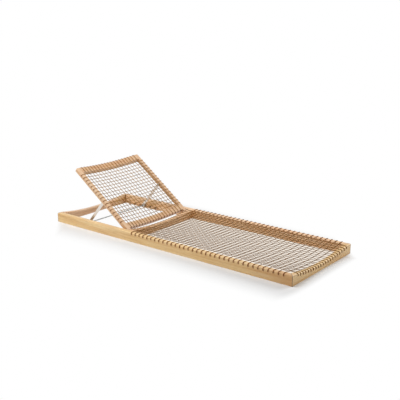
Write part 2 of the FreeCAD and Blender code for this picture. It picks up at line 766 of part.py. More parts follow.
STACK = "(sizes.arm_gap + sizes.arm_thickness + sizes.arm_play)"
ARM_Y = "(%s - sizes.arm_gap - sizes.arm_thickness / 2)" % BACK_INNER_Y
BOLT_REACH = "(sizes.bolt_seat + %s + sizes.bolt_head / 2)" % STACK
BOLT_Y = "(%s + sizes.bolt_seat - %s / 2)" % (BACK_INNER_Y, BOLT_REACH)
BOLT_HEAD_Y = "(%s - %s - sizes.bolt_head / 2)" % (BACK_INNER_Y, STACK)
ARM_HALF = "(sizes.arm_width / 2)"
BOLT_BORE = "sizes.bolt_radius + sizes.running_fit"
HEX = 6

bolts = []
for side, _, sign in SIDES:
    shank = y_rod(
        side + "_bolt_shank", "sizes.bolt_radius", BOLT_REACH,
        BOLT_X, sign + BOLT_Y, BOLT_Z,
    )
    head = y_prism(
        side + "_bolt_head", HEX, "sizes.bolt_head_radius", "sizes.bolt_head",
        BOLT_X, sign + BOLT_HEAD_Y, BOLT_Z,
    )
    bolts.append(join(side + "_bolt", shank, head))
name_node(on_backrest(gather("prop_bolt_group", bolts)), "prop_bolts")

THROUGH_ARM = "2 * sizes.arm_thickness"
far = "-sizes.arm_length"
arm_bores = gather("arm_bores", [
    y_rod("arm_pivot_bore", BOLT_BORE, THROUGH_ARM),
    y_rod("arm_rod_bore", "sizes.rod_radius + sizes.glue_gap", THROUGH_ARM, far),
])
for side, _, sign in SIDES:
    label = side + "_prop_arm"
    body, sketch = new_body(label, "XZ_Plane")
    draw_outline(sketch, [
        ("0", "-" + ARM_HALF), (ARM_HALF, "0"), ("0", ARM_HALF),
        (far, ARM_HALF), ("%s - %s" % (far, ARM_HALF), "0"), (far, "-" + ARM_HALF),
    ], {0: (ARM_HALF, -1), 1: (ARM_HALF, -1), 3: (ARM_HALF, -1), 4: (ARM_HALF, -1)})
    pad(body, sketch, "sizes.arm_thickness", symmetric=True)
    arm = name_node(on_prop(cut(label + "_bored", body, arm_bores)), label)
    bind(arm, Placement__Base__y=sign + ARM_Y)
ROD_REACH = "2 * (%s - sizes.rod_end_gap)" % SIDE_INNER_Y
rod = y_rod("prop_rod_bar", "sizes.rod_radius", ROD_REACH, ROD_X, "0", "sizes.rod_height")
name_node(rod, "prop_rod")


# Check every object, then write each sub-part to its own file

doc.recompute()
for item in doc.Objects:
    if "Invalid" in item.State or "Error" in item.State:
        raise RuntimeError("%s failed: %s" % (item.Name, item.State))
for item in NODES:
    if item.Shape.isNull() or not item.Shape.isValid() or not item.Shape.Solids:
        raise RuntimeError("%s has no sound solid" % item.Label)

os.makedirs("parts", exist_ok=True)
for item in NODES:
    item.Shape.exportStep("parts/%s.step" % item.Label)
    print("%-18s %3d solids" % (item.Label, len(item.Shape.Solids)))
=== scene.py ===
# %% [markdown]
# # A low teak sun lounger with woven cord nets
# The real lounger is a flat teak frame that lies straight on the floor. A net of
# brown cord is strung over it, and a second, hinged net makes the backrest, held
# up by a light steel prop. The frame comes ready made from the CAD model, so this
# lesson adds what the CAD leaves plain: grain, satin steel, and cords that weave.

# %% Load the fixed frame
import math

import bmesh
import bpy
from mathutils import Matrix, Vector


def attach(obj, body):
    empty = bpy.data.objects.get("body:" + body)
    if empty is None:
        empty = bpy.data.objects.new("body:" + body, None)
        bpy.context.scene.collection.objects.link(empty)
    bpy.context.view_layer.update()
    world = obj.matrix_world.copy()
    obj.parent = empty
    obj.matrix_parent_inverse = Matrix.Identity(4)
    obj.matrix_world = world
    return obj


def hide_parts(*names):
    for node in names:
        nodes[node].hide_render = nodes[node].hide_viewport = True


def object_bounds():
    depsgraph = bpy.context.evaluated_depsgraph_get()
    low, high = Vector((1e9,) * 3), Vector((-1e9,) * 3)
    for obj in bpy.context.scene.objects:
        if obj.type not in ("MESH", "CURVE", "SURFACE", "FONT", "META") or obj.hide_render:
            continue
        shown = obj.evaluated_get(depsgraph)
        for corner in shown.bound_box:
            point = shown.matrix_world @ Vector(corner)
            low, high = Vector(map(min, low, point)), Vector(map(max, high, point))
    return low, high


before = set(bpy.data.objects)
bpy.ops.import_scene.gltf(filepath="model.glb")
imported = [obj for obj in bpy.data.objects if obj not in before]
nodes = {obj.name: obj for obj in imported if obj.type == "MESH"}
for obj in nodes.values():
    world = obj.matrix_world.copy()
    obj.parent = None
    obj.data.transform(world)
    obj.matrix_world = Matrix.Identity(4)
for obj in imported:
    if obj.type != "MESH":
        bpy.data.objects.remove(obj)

scene = bpy.context.scene
cad_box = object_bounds()
print("CAD nodes:", len(nodes))
print("CAD box in metres:", [[round(v, 3) for v in corner] for corner in cad_box])

# %% [markdown]
# ## The camera
# The photograph was taken from the foot end, a little to the right, from about
# head height and with a fairly long lens. A camera could be placed by eye, but the
# frame's corners are known in the CAD model, so the place, direction and lens were
# worked out from where those corners lie in the picture.

# %% Camera
CAMERA_PLACE = (2.8844, -3.5507, 1.5352)
LOOK_ROUND = math.radians(128.5936)
LOOK_DOWN = math.radians(15.58585)
ROLL = math.radians(-0.0819)
# The lens and the sensor are in millimetres, as on a real camera
LENS = 63.05
SENSOR_WIDTH = 36

camera = bpy.data.objects.new("photo_camera", bpy.data.cameras.new("photo_camera"))
scene.collection.objects.link(camera)
camera.data.sensor_width = SENSOR_WIDTH
camera.data.lens = LENS
camera.location = CAMERA_PLACE
look = Vector((
    math.cos(LOOK_DOWN) * math.cos(LOOK_ROUND),
    math.cos(LOOK_DOWN) * math.sin(LOOK_ROUND),
    -math.sin(LOOK_DOWN),
))
turn = look.to_track_quat("-Z", "Y").to_matrix() @ Matrix.Rotation(ROLL, 3, "Z")
camera.rotation_euler = turn.to_euler()
scene.camera = camera
scene.view_settings.view_transform = "Standard"
print("camera lens in mm:", LENS)

# %% [markdown]
# ## Helpers for every material
# Colours are easiest to pick from a picture as sRGB hex values, but shaders work
# in linear light, so one function converts them. Another adds a node, sets its
# properties and fills or links its sockets, which keeps each material short enough
# to read from top to bottom.

# %% Colour and node helpers
def linear(colour):
    """Linear RGBA of an sRGB hex colour such as C9A06A."""
    shares = [int(colour[n:n + 2], 16) / 255 for n in (0, 2, 4)]
    return [s / 12.92 if s <= 0.04045 else ((s + 0.055) / 1.055) ** 2.4 for s in shares] + [1]


def fill(tree, node, sockets):
    """Set or link sockets by name or number; a node as the value gives its first output."""
    for name, value in sockets.items():
        if isinstance(value, bpy.types.Node):
            value = value.outputs[0]
        if isinstance(value, bpy.types.NodeSocket):
            tree.links.new(value, node.inputs[name])
        else:
            node.inputs[name].default_value = value


def add(tree, kind, sockets=None, stops=(), **settings):
    """Add a node with its sockets and settings; (position, hex colour) stops fill a ramp."""
    node = tree.nodes.new("ShaderNode" + kind)
    for name, value in settings.items():
        setattr(node, name, value)
    fill(tree, node, sockets or {})
    if stops:
        elements = node.color_ramp.elements
        while len(elements) < len(stops):
            elements.new(1)
        for element, (position, colour) in zip(elements, stops):
            element.position = position
            element.color = linear(colour)
    return node


def new_material(name):
    """A new material, its node tree and its Principled shader."""
    material = bpy.data.materials.new(name)
    material.use_nodes = True
    tree = material.node_tree
    return material, tree, tree.nodes["Principled BSDF"]


print("linear value of mid grey 808080:", round(linear("808080")[0], 3))

# %% [markdown]
# ## Floor and studio light
# In the picture the lounger stands on a white sweep with only a soft grey shadow on
# the near side. The floor is a large sheet of pale matt paper that takes the shadow.
# Further out, past a slanting line at two corners, and partly below the nets, rays from
# the camera see it as white, so the background is white without more light on the wood.
# The slanting line paints a slanting edge on the shadow, the white below the nets paints
# out their shadow, and a warmer white below the seat is painted warm bounce light.
# A weak, even sky fills the shadows. One wide lamp stands behind the foot end and throws
# the shadow forward. One in front, at the head end, lights the long near face, and one
# overhead lights the tops.

# %% World
SKY = 0.28


def seen_ray(tree):
    """1 for rays that show the background: camera, glossy and transmission."""
    path = add(tree, "LightPath").outputs
    straight = add(tree, "Math", {
        0: path["Is Camera Ray"], 1: path["Is Glossy Ray"],
    }, operation="MAXIMUM")
    return add(tree, "Math", {0: straight, 1: path["Is Transmission Ray"]}, operation="MAXIMUM")


world = bpy.data.worlds.new("white_studio")
world.use_nodes = True
scene.world = world
sky = world.node_tree
sky.nodes.clear()
plain = add(sky, "Background", {"Color": linear("FFFFFF"), "Strength": 1.0})
soft = add(sky, "Background", {"Color": linear("FFFFFF"), "Strength": SKY})
mixed = add(sky, "MixShader", {0: seen_ray(sky), 1: soft, 2: plain})
add(sky, "OutputWorld", {"Surface": mixed})
print("sky strength:", SKY)

# %% Floor sheet
MM = 0.001
FLOOR_HALF = 14.0
FLOOR_LEVEL = -0.4 * MM
FLOOR_CORNERS = ((-1, -1), (1, -1), (1, 1), (-1, 1))

sheet = bpy.data.meshes.new("floor")
sheet.from_pydata(
    [(x * FLOOR_HALF, y * FLOOR_HALF, FLOOR_LEVEL) for x, y in FLOOR_CORNERS],
    [], [(0, 1, 2, 3)],
)
floor = bpy.data.objects.new("floor", sheet)
scene.collection.objects.link(floor)
print("floor is", 2 * FLOOR_HALF, "m wide")

# %% Where the floor is seen white
# The paper turns to plain white over this way from the lounger, and faster past its ends
FADE_START = 0.06
FADE_END = 0.26
END_RATE = 3.0
# The paper also turns white past a slanting line at two corners, which paints a slanting edge on
# the shadow
SLANT = 1.08
SLANT_START = 1.31
SLANT_END = 1.41
# From the rails' inner faces inwards it is seen partly white, which paints out the nets' shadow,
# and warmer below the seat, a painted warm bounce light
UNDER_START = -0.015
UNDER_END = -0.040
UNDER_BACK = 0.95
UNDER_SEAT = 0.8
SEAT_START = -0.30
SEAT_FULL = -0.28


def way_outside(tree, place):
    """How far a point of the floor lies outside the outline, less than 0 inside it."""
    ways = []
    for axis, half, rate in zip("XY", cad_box[1], (END_RATE, 1.0)):
        out = add(tree, "Math", {0: place[axis]}, operation="ABSOLUTE")
        past = add(tree, "Math", {0: out, 1: half}, operation="SUBTRACT")
        ways.append(add(tree, "Math", {0: past, 1: rate}, operation="MULTIPLY"))
    both = add(tree, "CombineXYZ", {"X": ways[0], "Y": ways[1]})
    beside = add(tree, "VectorMath", {0: both, 1: (0, 0, 0)}, operation="MAXIMUM")
    far = add(tree, "VectorMath", {0: beside}, operation="LENGTH").outputs["Value"]
    nearer = add(tree, "Math", {0: ways[0], 1: ways[1]}, operation="MAXIMUM")
    inside = add(tree, "Math", {0: nearer, 1: 0.0}, operation="MINIMUM")
    return add(tree, "Math", {0: far, 1: inside}, operation="ADD")


def white_outside(tree, place, way):
    """1 beyond the shadow, along the sides and past the slanting line, and 0 near the rails."""
    beyond = add(tree, "MapRange", {
        "Value": way, "From Min": FADE_START, "From Max": FADE_END,
    }, interpolation_type="SMOOTHSTEP")
    # The slanting line paints a slanting edge on the shadow
    slanting = add(tree, "Math", {0: place["Y"], 1: SLANT, 2: place["X"]}, operation="MULTIPLY_ADD")
    cornered = add(tree, "MapRange", {
        "Value": add(tree, "Math", {0: slanting}, operation="ABSOLUTE"),
        "From Min": SLANT_START, "From Max": SLANT_END,
    }, interpolation_type="SMOOTHSTEP")
    return add(tree, "Math", {0: beyond, 1: cornered}, operation="MAXIMUM")


print("floor is white from", FADE_END, "m beyond the long sides")

# %% White paper
paper = bpy.data.materials.new("white_paper_sweep")
paper.use_nodes = True
tree = paper.node_tree
tree.nodes.clear()
place = add(tree, "SeparateXYZ", {"Vector": add(tree, "NewGeometry").outputs["Position"]}).outputs
way = way_outside(tree, place)
below = add(tree, "MapRange", {"Value": way, "From Min": UNDER_START, "From Max": UNDER_END})
seat = add(tree, "MapRange", {
    "Value": place["X"], "From Min": SEAT_START, "From Max": SEAT_FULL,
})
most = add(tree, "MapRange", {"Value": seat, "To Min": UNDER_BACK, "To Max": UNDER_SEAT})
# Below the nets camera rays see the paper partly white, which paints out the nets' shadow
partly = add(tree, "Math", {0: below, 1: most}, operation="MULTIPLY")
white = add(tree, "Math", {0: white_outside(tree, place, way), 1: partly}, operation="MAXIMUM")
share = add(tree, "Math", {0: seen_ray(tree), 1: white}, operation="MULTIPLY")
# Below the seat that white is warmer: painted warm bounce light
painted_bounce_share = add(tree, "Math", {0: below, 1: seat}, operation="MULTIPLY")
warm = add(tree, "MixRGB", {0: painted_bounce_share, 1: linear("FFFFFF"), 2: linear("FFF5E8")})
glow = add(tree, "Emission", {"Color": warm, "Strength": 1.0})
matt = add(tree, "BsdfDiffuse", {"Color": linear("E6E6E6")})
mixed = add(tree, "MixShader", {0: share, 1: matt, 2: glow})
add(tree, "OutputMaterial", {"Surface": mixed})
sheet.materials.append(paper)
print("nodes in the paper:", len(tree.nodes))

# %% Three wide lamps
LAMP_AIM = Vector((0.0, 0.0, 0.1))


def softbox(name, place, width, height, watts):
    """A wide soft lamp that faces the lounger."""
    lamp = bpy.data.objects.new(name, bpy.data.lights.new(name, "AREA"))
    scene.collection.objects.link(lamp)
    lamp.data.shape = "RECTANGLE"
    lamp.data.size = width
    lamp.data.size_y = height
    lamp.data.energy = watts
    lamp.location = place
    lamp.rotation_euler = (LAMP_AIM - lamp.location).to_track_quat("-Z", "Y").to_euler()
    print(name, "is", round((lamp.location - LAMP_AIM).length, 2), "m away")


softbox("far_softbox", (2.2, 2.6, 2.0), width=2.0, height=1.6, watts=62)
softbox("near_softbox", (-2.2, -2.5, 1.6), width=2.2, height=1.4, watts=44)
softbox("top_softbox", (-0.3, -0.8, 3.0), width=2.0, height=1.6, watts=52)

# %% [markdown]
# ## Sanded and oiled teak
# The rails are sawn from plantation teak, sanded and wiped with oil. To the eye that
# is a warm honey ground with long darker growth bands, short dark pores that break up
# the sheen, and a thin coat of oil over all of it. A picture of wood would smear round
# the corners, so the grain is worked out in space: stretched noise, laid along each
# rail. Every rail shifts the noise, so the grain breaks at the joints as it does when
# boards are mitred together.

# %% Sizes of the grain
BAND_LENGTH = 420 * MM
BAND_WIDTH = 15 * MM
BAND_STOPS = (0.28, 0.44, 0.56, 0.72)
PORE_LENGTH = 34 * MM
# Teak's pores are about 0.3 mm wide; they are drawn coarser so that they show
PORE_WIDTH = 1.5 * MM
PORE_DEPTH = 0.4 * MM
PATCH = 160 * MM
# Where in the noise a pore or a bleached patch begins, where it is full, and its share
PORE_START, PORE_FULL, PORE_SHARE = 0.56, 0.74, 0.5
BLEACH_START, BLEACH_FULL, BLEACH_SHARE = 0.45, 0.75, 0.28
WOOD_ROUGHNESS, PORE_ROUGHNESS = 0.44, 0.66
OIL = {"IOR": 1.5, "Coat Weight": 0.6, "Coat Roughness": 0.35}

print("growth bands are about", round(BAND_WIDTH / MM), "mm wide")

# %% Teak
def mark_share(tree, most, limits):
    """A mark's share: most within all its limits, falling to 0 from each start to its end."""
    share = most
    for value, start, end in limits:
        within = add(tree, "MapRange", {
            "Value": value, "From Min": start, "From Max": end, "To Min": 1.0, "To Max": 0.0,
        })
        share = add(tree, "Math", {0: share, 1: within}, operation="MULTIPLY")
    return share


def teak(rail, turned, shift, tones, marks):
    """Teak with its grain along X once the rail's space is turned and shifted."""
    material, tree, shader = new_material("teak_sanded_oiled_" + rail)
    place = add(tree, "TexCoord").outputs["Object"]
    lying = add(tree, "Mapping", {"Vector": place, "Location": shift, "Rotation": turned})
    bands_at = add(tree, "Mapping", {
        "Vector": lying, "Scale": (1 / BAND_LENGTH, 1 / BAND_WIDTH, 1 / BAND_WIDTH),
    })
    bands = add(tree, "TexNoise", {
        "Vector": bands_at, "Scale": 1.0, "Detail": 4.0, "Roughness": 0.55, "Distortion": 0.7,
    }).outputs["Fac"]
    pores_at = add(tree, "Mapping", {
        "Vector": lying, "Scale": (1 / PORE_LENGTH, 1 / PORE_WIDTH, 1 / PORE_WIDTH),
    })
    pores = add(tree, "TexNoise", {
        "Vector": pores_at, "Scale": 1.0, "Detail": 2.0, "Roughness": 0.5,
    }).outputs["Fac"]
    patches = add(tree, "TexNoise", {
        "Vector": lying, "Scale": 1 / PATCH, "Detail": 2.0,
    }).outputs["Fac"]
    colour = add(tree, "ValToRGB", {"Fac": bands}, stops=list(zip(BAND_STOPS, tones)))
    # The sun has bleached some patches a little more than the rest
    bleached = add(tree, "MapRange", {
        "Value": patches, "From Min": BLEACH_START, "From Max": BLEACH_FULL, "To Max": BLEACH_SHARE,
    })
    colour = add(tree, "MixRGB", {0: bleached, 1: colour, 2: linear("E2C79A")})
    open_pores = add(tree, "MapRange", {
        "Value": pores, "From Min": PORE_START, "From Max": PORE_FULL, "To Max": PORE_SHARE,
    })
    colour = add(tree, "MixRGB", {0: open_pores, 1: colour, 2: linear("9A6A38")})
    for limits, most, tint in marks:
        apart = add(tree, "SeparateXYZ", {"Vector": place}).outputs
        share = mark_share(tree, most, limits(tree, apart))
        colour = add(tree, "MixRGB", {0: share, 1: colour, 2: linear(tint)})
    rough = add(tree, "MapRange", {
        "Value": pores, "To Min": WOOD_ROUGHNESS, "To Max": PORE_ROUGHNESS,
    })
    relief = add(tree, "Bump", {
        "Height": pores, "Strength": 0.22, "Distance": PORE_DEPTH,
    }, invert=True)
    fill(tree, shader, {"Base Color": colour, "Roughness": rough, "Normal": relief, **OIL})
    return material


print("pores are drawn", PORE_WIDTH / MM, "mm wide")

# %% [markdown]
# ## Marks on the wood
# Real boards aren't even. A glue line shows dark in the mitres, widened by painted shade
# of the joint's groove; painted shade darkens the wood beside the wrapped cords and in and
# beside the rack's notches; and one rail is darker towards its foot end. A painted picture
# would need the rails unwrapped, so each mark is worked out from the place in the rail,
# as a few limits that it fades at.

# %% Limits of the marks
# The mitres lie where the way along, less the way across, is this length
FRAME_MIDDLE = -1.95 * MM
MITRE_LEAD = 646 * MM
# A glue line is under 1 mm wide; it is drawn wider, and the width past the glue is painted shade of
# the groove at the joint
SEAM_SHADE_FADE = (1.4 * MM, 4.2 * MM)
# The row of cords over the side rails, and how far the painted shade beside a cord reaches along
# and down
FIRST_WRAP = -254.95 * MM
LAST_WRAP = 939.05 * MM
SEAT_CROSS_CORDS = 35
WRAP_PITCH = (LAST_WRAP - FIRST_WRAP) / (SEAT_CROSS_CORDS - 1)
WRAP_SHADE_FADE = (3 * MM, 11 * MM)
ROW_FADE = (8 * MM, 12 * MM)
WRAP_SHADE_HEIGHTS = (52 * MM, 45 * MM)
FOOT_END_FADE = (990 * MM, 620 * MM)
# The row of notches in the racks
NOTCH_X = -745.04 * MM
NOTCH_PITCH = 54 * MM
# How far the painted shade at a notch reaches along and down
NOTCH_SHADE_FADE = (7 * MM, 12 * MM)
NOTCH_SHADE_HEIGHTS = (9 * MM, 5 * MM)


def way_from(tree, value, middle):
    """How far a value is from a middle, on either side."""
    moved = add(tree, "Math", {0: value, 1: middle}, operation="SUBTRACT")
    return add(tree, "Math", {0: moved}, operation="ABSOLUTE")


def way_from_row(tree, value, first, pitch):
    """How far a value is from the nearest place of an even row."""
    moved = add(tree, "Math", {0: value, 1: first}, operation="SUBTRACT")
    return add(tree, "Math", {0: moved, 1: pitch / 2}, operation="PINGPONG")


def mitre_seam_and_shade(tree, place):
    """The dark glue line of the four mitres, widened by painted shade of the joint's groove."""
    along = way_from(tree, place["X"], FRAME_MIDDLE)
    across = way_from(tree, place["Y"], 0.0)
    lead = add(tree, "Math", {0: along, 1: across}, operation="SUBTRACT")
    return [(way_from(tree, lead, MITRE_LEAD), *SEAM_SHADE_FADE)]


def wrap_shade(tree, place):
    """Painted shade on the wood beside the wrapped cords."""
    reach = (LAST_WRAP - FIRST_WRAP) / 2
    return [
        (way_from_row(tree, place["X"], FIRST_WRAP, WRAP_PITCH), *WRAP_SHADE_FADE),
        (way_from(tree, place["X"], FIRST_WRAP + reach), *[reach + fade for fade in ROW_FADE]),
        (place["Z"], *WRAP_SHADE_HEIGHTS),
    ]


def darker_foot_end(tree, place):
    """Darker towards the foot end of the board."""
    return [(place["X"], *FOOT_END_FADE)]


def notch_shade(tree, place):
    """Painted shade in the notches and on the wood beside them."""
    return [
        (way_from_row(tree, place["X"], NOTCH_X, NOTCH_PITCH), *NOTCH_SHADE_FADE),
        (place["Z"], *NOTCH_SHADE_HEIGHTS),
    ]


print("cords are", round(WRAP_PITCH / MM, 1), "mm apart on the side rails")

# %% Boards
# Growth bands from dark to light, for boards of three trees
HONEY = ("C89755", "D8AE70", "E0BC80", "E7C791")
ROSY = ("C69163", "D2A67C", "D9B28B", "E0BE9C")
PALE = ("D9A06C", "E5B686", "ECC296", "F1CDA8")
# Each mark's limits, its share and its tint
SEAM_AND_SHADE = (mitre_seam_and_shade, 0.9, "5B3A1C")
WRAP_SHADE = (wrap_shade, 0.55, "A6601C")
FOOT_END_DARKENING = (darker_foot_end, 0.5, "B0702E")
NOTCH_SHADE = (notch_shade, 0.85, "4A3220")
BACK_ANGLE = math.radians(36.1)
ALONG_X = (0.0, 0.0, 0.0)
ALONG_Y = (0.0, 0.0, math.radians(-90))
UP_THE_BACK = (0.0, -BACK_ANGLE, 0.0)
# The grain of each board starts this much further on in the noise
BOARD_SHIFT = Vector((1.7, 0.629, 1.037))
BOARDS = {
    "left_side_rail": (ALONG_X, PALE, (WRAP_SHADE, SEAM_AND_SHADE)),
    "right_side_rail": (ALONG_X, HONEY, (FOOT_END_DARKENING, WRAP_SHADE, SEAM_AND_SHADE)),
    "head_rail": (ALONG_Y, ROSY, (SEAM_AND_SHADE,)),
    "foot_rail": (ALONG_Y, HONEY, (SEAM_AND_SHADE,)),
    "mid_rail": (ALONG_Y, PALE, ()),
    "left_rack": (ALONG_X, ROSY, (NOTCH_SHADE,)),
    "right_rack": (ALONG_X, ROSY, (NOTCH_SHADE,)),
    "back_left_rail": (UP_THE_BACK, ROSY, ()),
    "back_right_rail": (UP_THE_BACK, ROSY, ()),
    "back_top_rail": (ALONG_Y, ROSY, ()),
    "back_bottom_rail": (ALONG_Y, ROSY, ()),
}


def finish_node(name, material):
    """Give a CAD node one material."""
    mesh = nodes[name].data
    mesh.materials.clear()
    mesh.materials.append(material)


for number, (rail, (turned, tones, marks)) in enumerate(BOARDS.items()):
    finish_node(rail, teak(rail, turned, number * BOARD_SHIFT, tones, marks))
print("teak rails:", len(BOARDS))

# %% [markdown]
# ## Soft arrises on the rails
# A sander takes the sharp edge off every board, and that thin rounded line catches
# the light. The CAD meshes must stay as they are, so the rounding is a modifier: Weld
# joins the split corners of the import, and a narrow Bevel rounds only the sharp
# edges. The dipped rails come with eased edges, and Weld would blur the shading of
# their curved faces, so only the straight pieces get it.

# %% Soft arrises
ARRIS = 0.9 * MM
ARRIS_STEPS = 2
SPLIT_CORNER = 0.005 * MM
SHARP_ANGLE = math.radians(50)
straight_boards = [rail for rail, (turned, *_) in BOARDS.items() if turned != ALONG_Y]

for rail in straight_boards:
    weld = nodes[rail].modifiers.new("joined_corners", "WELD")
    weld.merge_threshold = SPLIT_CORNER
    soft_edge = nodes[rail].modifiers.new("sanded_arris", "BEVEL")
    soft_edge.width = ARRIS
    soft_edge.segments = ARRIS_STEPS
    soft_edge.limit_method = "ANGLE"
    soft_edge.angle_limit = SHARP_ANGLE
    soft_edge.use_clamp_overlap = True
print(len(straight_boards), "boards with arrises of", ARRIS / MM, "mm")

# %% [markdown]
# ## Beech dowels
# The joints are held by fluted beech dowels that stay hidden inside the wood. They
# still get their own pale, close-grained finish, because a reader may take the model
# apart: short flecks on a cream ground, and hardly any sheen.

# %% Beech dowels
FLECK = 2.2 * MM
FLECK_STRETCH = 0.12
FLECK_DEPTH = 0.2 * MM
DOWELS = ("corner_dowels", "mid_rail_dowels", "back_dowels")

beech, tree, shader = new_material("beech_turned_plain")
stretched = add(tree, "Mapping", {
    "Vector": add(tree, "TexCoord").outputs["Object"],
    "Scale": (1 / FLECK, FLECK_STRETCH / FLECK, 1 / FLECK),
})
flecks = add(tree, "TexNoise", {
    "Vector": stretched, "Scale": 1.0, "Detail": 3.0,
}).outputs["Fac"]
tint = add(tree, "ValToRGB", {"Fac": flecks}, stops=[
    (0.3, "B98F63"), (0.5, "D3B085"), (0.7, "E0C29B"),
])
rough = add(tree, "MapRange", {"Value": flecks, "To Min": 0.55, "To Max": 0.75})
relief = add(tree, "Bump", {"Height": flecks, "Strength": 0.2, "Distance": FLECK_DEPTH})
fill(tree, shader, {"Base Color": tint, "Roughness": rough, "Normal": relief})
for name in DOWELS:
    finish_node(name, beech)
print("dowel sets:", len(DOWELS))

# %% [markdown]
# ## Satin stainless steel
# The prop, its rod, the pins and the bolts are stainless steel. The flat arms were
# brushed with a fine belt, which leaves a pale metal whose highlight is drawn out
# across the brush lines; the round bars are greyer, as they came from the drawing die.
# The lines are a noise stretched along the part, which moves the roughness and the
# bump; the colour only drifts a little.

# %% Satin steel
ARM_DIP = math.radians(49.45)
# A belt leaves lines about 0.05 mm apart; they are drawn coarser so that they show
BRUSH_WIDTH = 0.7 * MM
BRUSH_LENGTH = 45 * MM
BRUSH_DEPTH = 0.1 * MM
BRUSH_STOPS = (0.3, 0.5, 0.7)
ARMS = ("left_prop_arm", "right_prop_arm")
BARS = ("prop_rod", "hinge_pins", "prop_bolts")


def satin_steel(name, turned, tones):
    """Stainless steel with lines along X once its space is turned."""
    material, tree, shader = new_material("stainless_steel_" + name)
    place = add(tree, "TexCoord").outputs["Object"]
    lying = add(tree, "Mapping", {"Vector": place, "Rotation": turned})
    stretched = add(tree, "Mapping", {
        "Vector": lying, "Scale": (1 / BRUSH_LENGTH, 1 / BRUSH_WIDTH, 1 / BRUSH_WIDTH),
    })
    brush = add(tree, "TexNoise", {
        "Vector": stretched, "Scale": 1.0, "Detail": 3.0,
    }).outputs["Fac"]
    tint = add(tree, "ValToRGB", {"Fac": brush}, stops=list(zip(BRUSH_STOPS, tones)))
    rough = add(tree, "MapRange", {"Value": brush, "To Min": 0.26, "To Max": 0.44})
    relief = add(tree, "Bump", {"Height": brush, "Strength": 0.15, "Distance": BRUSH_DEPTH})
    fill(tree, shader, {
        "Base Color": tint, "Roughness": rough, "Normal": relief, "Metallic": 1.0,
    })
    return material


arm_steel = satin_steel("brushed_arms", (0.0, ARM_DIP, 0.0), ("D6CFC5", "E0D9D0", "E8E2DA"))
bar_steel = satin_steel("drawn_bars", ALONG_Y, ("858785", "919391", "9D9F9D"))
for name in ARMS:
    finish_node(name, arm_steel)
for name in BARS:
    finish_node(name, bar_steel)
print("steel nodes:", len(ARMS + BARS))

# %% [markdown]
# ## Braided cord
# The nets are strung with a round outdoor cord, braided from dull synthetic yarn. Up
# close it shows small diamonds where the strands cross, with painted shade between the
# strands; from further off it is a matt brown line that is a little uneven, paler where
# it has faded, paler still on the back as painted light, and darker at its ends with
# painted shade where it wraps the rails.
# The tubes made below carry UVs along and around the cord, so two sets of slanted waves
# drawn there cross in diamonds.

# %% Braided cord material
CORD = 3.6 * MM
STRANDS = 4
BRAID_DEPTH = 0.35 * MM
# Wave bands repeat every 2 pi / 10 units along a diagonal
WAVE = 2 * math.pi / 10
# The yarn fades in spots of about this length; the larger share on the back partly stands for sun
# fading and partly paints the back net paler, as painted light
FADE_SPOT = 60 * MM
FADED_AND_PAINTED_LIGHT = {"base": 0.1, "backrest": 0.5}
# The ends, which bear on the rails, are darkened with painted shade of the wraps
END_SHADE_START = 75 * MM
END_SHADE_FULL = 55 * MM
END_SHADE_SHARE = 0.9


def shaded_ends(tree, along, length):
    """Share of painted shade in a cord, from its UV along it: 0 on the net and full at the ends."""
    return add(tree, "MapRange", {
        "Value": way_from(tree, along, 0.5), "To Max": END_SHADE_SHARE,
        "From Min": 0.5 - END_SHADE_START / length, "From Max": 0.5 - END_SHADE_FULL / length,
    })


def braided_cord(net, length, fade):
    """Braid for cords of one length, with diamonds about as long as the cord is thick."""
    material, tree, shader = new_material("polyester_cord_braided_" + net)
    place = add(tree, "TexCoord").outputs
    waves = []
    for hand in (1, -1):
        slanted = add(tree, "Mapping", {
            "Vector": place["UV"],
            "Scale": (hand * WAVE * length / CORD, WAVE * STRANDS, 1.0),
        })
        waves.append(add(tree, "TexWave", {
            "Vector": slanted, "Scale": 1.0, "Distortion": 0.0,
        }, bands_direction="DIAGONAL").outputs["Fac"])
    diamonds = add(tree, "Math", {0: waves[0], 1: waves[1]}, operation="MULTIPLY")
    drift = add(tree, "TexNoise", {
        "Vector": place["Object"], "Scale": 1 / FADE_SPOT, "Detail": 3.0,
    }).outputs["Fac"]
    # The yarn is darkest in the crevices between strands: painted shade of the braid
    colour = add(tree, "ValToRGB", {"Fac": diamonds}, stops=[
        (0.0, "54300A"), (0.35, "7A4E12"), (0.9, "966C24"),
    ])
    # The larger share on the backrest paints its cords paler, as painted light
    faded_and_lit = add(tree, "MapRange", {
        "Value": drift, "From Min": 0.2, "From Max": 0.6, "To Max": fade,
    })
    colour = add(tree, "MixRGB", {0: faded_and_lit, 1: colour, 2: linear("D09A40")})
    along = add(tree, "SeparateXYZ", {"Vector": place["UV"]}).outputs["X"]
    # Painted shade darkens the cord's ends where they wrap the rails
    oiled = shaded_ends(tree, along, length)
    colour = add(tree, "MixRGB", {0: oiled, 1: colour, 2: linear("783C08")})
    rough = add(tree, "MapRange", {"Value": diamonds, "To Min": 0.9, "To Max": 0.72})
    relief = add(tree, "Bump", {"Height": diamonds, "Strength": 0.6, "Distance": BRAID_DEPTH})
    fill(tree, shader, {
        "Base Color": colour, "Roughness": rough, "Normal": relief, "Specular IOR Level": 0.08,
    })
    return material


print("diamonds per metre of cord:", round(1 / CORD))

# %% [markdown]
# ## The way of a cord
# Each cord starts in a hole in the outer face of a rail, runs up that face, over the
# rounded edge and across the net to the rail opposite. At each crossing it goes over
# one cord and under the next. A simple grid of straight tubes would lie flat like
# wire mesh, so every cord is a smooth NURBS curve with a control point at each
# crossing, set above or below the net by turns. A curve of order 3 reaches half as
# far as such points, so they stand twice as high as the cord has to.

# %% Points along a cord
# From the wood to a cord's middle, and between the middles of the CAD model's two layers
STAND = 2.1 * MM
LAYER = 3.9 * MM
CROSSING_ROOM = 0.05 * MM
SWING = 2 * (CORD / 2 + CROSSING_ROOM)
